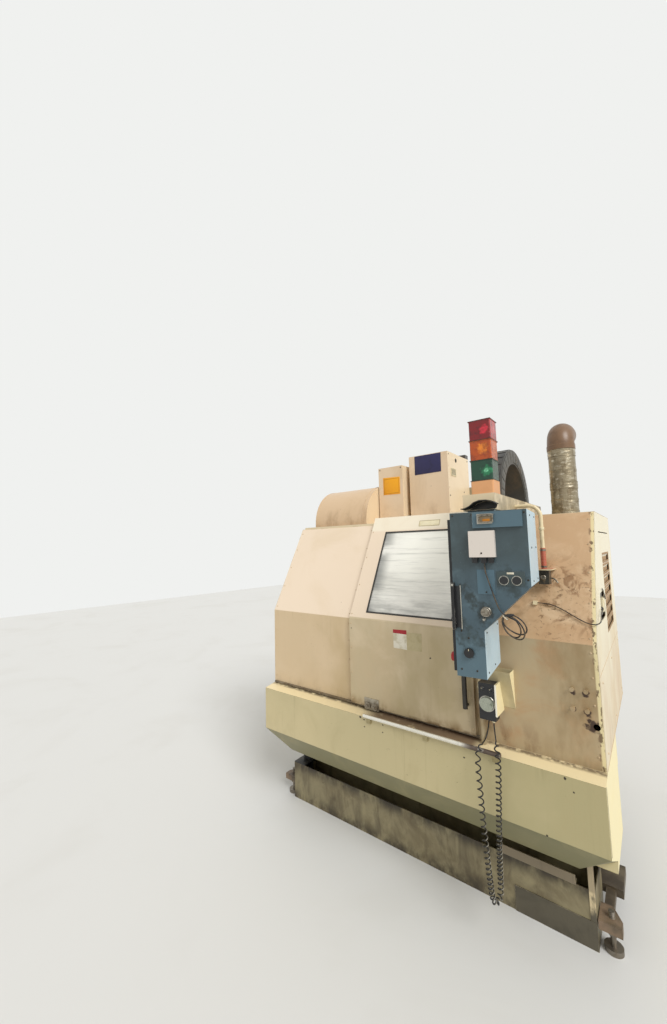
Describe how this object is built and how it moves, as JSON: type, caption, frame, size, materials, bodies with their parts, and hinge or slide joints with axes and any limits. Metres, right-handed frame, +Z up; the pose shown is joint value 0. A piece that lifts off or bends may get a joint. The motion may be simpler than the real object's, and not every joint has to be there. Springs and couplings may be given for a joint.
{
  "type": "cnc machining center",
  "caption": "Vertical machining centre with folded enclosure, sliding windowed door, hanging control pendant, signal light, duct and tool magazine.",
  "frame": {"origin": "on the floor under the middle of the machine", "axes": "+Z up, +X to the operator's right, the operator stands on the -Y side"},
  "size_m": [2.1165, 2.44, 2.632],
  "materials": {
    "casting_paint": "satin enamel over cast iron",
    "casting_iron": "ground",
    "zinc_steel": "zinc plated",
    "tank_steel": "stained",
    "dark_steel": "worn",
    "motor_black": "satin",
    "apron_paint": "stained",
    "panel_paint": "worn satin",
    "side_paint": "satin",
    "roof_paint": "satin",
    "bright_steel": "bright",
    "cover_paint": "satin",
    "lens_red": "clear",
    "lens_amber": "clear",
    "lens_green": "clear",
    "lamp_plastic": "satin",
    "chain_plastic": "satin",
    "duct_sheet": "dirty foil",
    "elbow_paint": "dusty",
    "pendant_paint": "satin",
    "black_plastic": "satin",
    "pipe_paint": "satin",
    "cord_black": "satin",
    "window_glass": "scratched",
    "pot_plastic": "satin",
    "ground_steel": "ground",
    "red_plastic": "gloss",
    "green_plastic": "gloss",
    "button_dark": "gloss",
    "cream_plastic": "satin",
    "screw_steel": "ground"
  },
  "bodies": {
    "machine": {"machine_bed": "casting_paint", "column": "casting_paint", "levelling_feet": "zinc_steel", "coolant_tank": "tank_steel", "tank_covers": "dark_steel", "coolant_pump": "motor_black", "chip_pan": "apron_paint", "front_panel_left": "panel_paint", "front_panel_right": "panel_paint", "side_wall_left": "side_paint", "side_wall_right": "side_paint", "rear_wall": "side_paint", "roof_panel": "roof_paint", "door_rails": "bright_steel", "ledge_bar": "bright_steel", "magazine_cover": "cover_paint", "magazine_frame": "casting_paint", "relay_box": "cover_paint", "motor_cover": "cover_paint", "guide_rails": "ground_steel", "stack_light_base": "lamp_plastic", "stack_lens_red": "lens_red", "stack_lens_amber": "lens_amber", "stack_lens_green": "lens_green", "pendant_arm": "roof_paint", "cable_chain": "chain_plastic", "exhaust_duct": "duct_sheet", "duct_elbow": "elbow_paint", "electrical_cabinet": "side_paint", "handwheel_bracket": "side_paint", "handwheel_box": "black_plastic", "panel_pipes": "pipe_paint", "document_pocket": "side_paint", "curly_cord": "cord_black", "side_cable": "cord_black"},
    "front_door": {"front_door": "panel_paint", "door_window": "window_glass", "door_fittings": "zinc_steel"},
    "saddle": {"saddle": "casting_iron"},
    "work_table": {"work_table": "casting_iron"},
    "spindle_head": {"spindle_head": "casting_paint"},
    "spindle": {"spindle": "screw_steel"},
    "x_screw": {"x_screw": "screw_steel"},
    "y_screw": {"y_screw": "screw_steel"},
    "z_screw": {"z_screw": "screw_steel"},
    "tool_magazine": {"tool_magazine": "pot_plastic"},
    "change_arm": {"change_arm": "zinc_steel"},
    "pendant": {"pendant_case": "pendant_paint", "pendant_swivel": "black_plastic", "pendant_display": "black_plastic", "operator_panel": "black_plastic", "pendant_fittings": "cream_plastic", "pendant_cable": "cord_black"},
    "emergency_stop": {"emergency_stop": "red_plastic"},
    "cycle_start": {"cycle_start": "green_plastic"},
    "override_knob": {"override_knob": "black_plastic"},
    "power_on_button": {"power_on_button": "button_dark"},
    "power_off_button": {"power_off_button": "button_dark"},
    "handwheel_dial": {"handwheel_dial": "zinc_steel"},
    "cabinet_door": {"cabinet_door": "side_paint"}
  },
  "joints": [
    {"name": "front_door_slide", "type": "slide", "parent": "machine", "child": "front_door", "axis": [1, 0, 0], "range_m": [-0.69, 0]},
    {"name": "saddle_slide", "type": "slide", "parent": "machine", "child": "saddle", "axis": [0, 1, 0], "range_m": [-0.18, 0.11]},
    {"name": "table_slide", "type": "slide", "parent": "saddle", "child": "work_table", "axis": [1, 0, 0], "range_m": [-0.255, 0.255]},
    {"name": "head_slide", "type": "slide", "parent": "machine", "child": "spindle_head", "axis": [0, 0, 1], "range_m": [-0.38, 0]},
    {"name": "spindle_spin", "type": "hinge", "parent": "spindle_head", "child": "spindle", "pos_m": [-0.035, 0.02, 1.555], "axis": [0, 0, 1], "continuous": true},
    {"name": "x_screw_spin", "type": "hinge", "parent": "saddle", "child": "x_screw", "pos_m": [-0.035, 0.02, 0.768], "axis": [1, 0, 0], "continuous": true},
    {"name": "y_screw_spin", "type": "hinge", "parent": "machine", "child": "y_screw", "pos_m": [-0.035, -0.04, 0.63], "axis": [0, 1, 0], "continuous": true},
    {"name": "z_screw_spin", "type": "hinge", "parent": "machine", "child": "z_screw", "pos_m": [-0.035, 0.27, 1.6], "axis": [0, 0, 1], "continuous": true},
    {"name": "magazine_spin", "type": "hinge", "parent": "machine", "child": "tool_magazine", "pos_m": [-0.7, -0.06, 2.06], "axis": [1, 0, 0], "continuous": true},
    {"name": "change_arm_turn", "type": "hinge", "parent": "machine", "child": "change_arm", "pos_m": [-0.3, 0.02, 1.3], "axis": [0, 0, 1], "range_deg": [0, 180]},
    {"name": "pendant_turn", "type": "hinge", "parent": "machine", "child": "pendant", "pos_m": [0.65, -1.00493, 2], "axis": [0, 0, 1], "range_deg": [-5, 80]},
    {"name": "emergency_stop_push", "type": "slide", "parent": "pendant", "child": "emergency_stop", "axis": [0.9949, 0.1011, 0], "range_m": [0, 0.004], "stiffness_N_per_m": 900, "springref_m": -0.002},
    {"name": "cycle_start_push", "type": "slide", "parent": "pendant", "child": "cycle_start", "axis": [0.9949, 0.1011, 0], "range_m": [0, 0.004], "stiffness_N_per_m": 900, "springref_m": -0.002},
    {"name": "override_turn", "type": "hinge", "parent": "pendant", "child": "override_knob", "pos_m": [0.51965, -1.00812, 1.4], "axis": [0.9949, 0.1011, 0], "range_deg": [-135, 135]},
    {"name": "power_on_push", "type": "slide", "parent": "pendant", "child": "power_on_button", "axis": [-0.1011, 0.9949, 0], "range_m": [0, 0.0035], "stiffness_N_per_m": 900, "springref_m": -0.002},
    {"name": "power_off_push", "type": "slide", "parent": "pendant", "child": "power_off_button", "axis": [-0.1011, 0.9949, 0], "range_m": [0, 0.0035], "stiffness_N_per_m": 900, "springref_m": -0.002},
    {"name": "handwheel_dial_spin", "type": "hinge", "parent": "machine", "child": "handwheel_dial", "pos_m": [0.582, -0.905, 1.068], "axis": [0, 1, 0], "continuous": true},
    {"name": "cabinet_door_turn", "type": "hinge", "parent": "machine", "child": "cabinet_door", "pos_m": [-0.558, 1.188, 1.3], "axis": [0, 0, 1], "range_deg": [0, 110]}
  ],
  "couplings": [
    {"joint": "x_screw_spin", "follows": "table_slide", "rad_per_m": 392.7},
    {"joint": "y_screw_spin", "follows": "saddle_slide", "rad_per_m": 392.7},
    {"joint": "z_screw_spin", "follows": "head_slide", "rad_per_m": 392.7}
  ]
}
